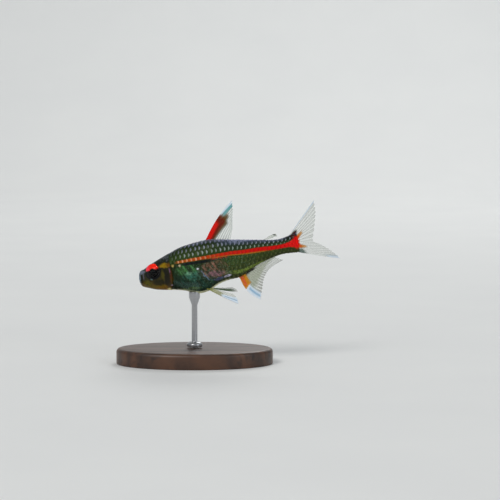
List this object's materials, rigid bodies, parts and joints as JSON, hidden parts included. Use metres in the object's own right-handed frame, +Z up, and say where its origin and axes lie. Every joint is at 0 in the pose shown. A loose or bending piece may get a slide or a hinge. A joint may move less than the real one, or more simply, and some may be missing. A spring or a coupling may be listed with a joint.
{
  "type": "glowlight tetra",
  "caption": "Life-size glowlight tetra as a still display model, turned and nose down, held by one rod on a flat oval base.",
  "frame": {"origin": "centre of the stand's underside, below the rod", "axes": "+Z up, -X towards the fish's head and +X towards its tail, -Y towards the viewer of its left flank"},
  "size_m": [0.0431, 0.019, 0.0313],
  "materials": {
    "skin": "wet, scaled skin, olive green and silver with a red stripe",
    "eye": "glossy eye, red above and dark below, black pupil",
    "fin": "clear fin membrane with fine rays, red and white marks",
    "stand_wood": "dark satin wood",
    "stand_metal": "brushed steel"
  },
  "bodies": {
    "root": {"head": "skin", "lower_jaw": "skin", "gill_cover_left": "skin", "gill_cover_right": "skin", "trunk": "skin", "tail_stem": "skin", "eye_left": "eye", "eye_right": "eye", "dorsal_fin": "fin", "adipose_fin": "fin", "anal_fin": "fin", "pelvic_fin_left": "fin", "pelvic_fin_right": "fin", "pectoral_fin_left": "fin", "pectoral_fin_right": "fin", "caudal_fin_upper": "fin", "caudal_fin_lower": "fin", "stand_base": "stand_wood", "stand_rod": "stand_metal"}
  },
  "joints": []
}
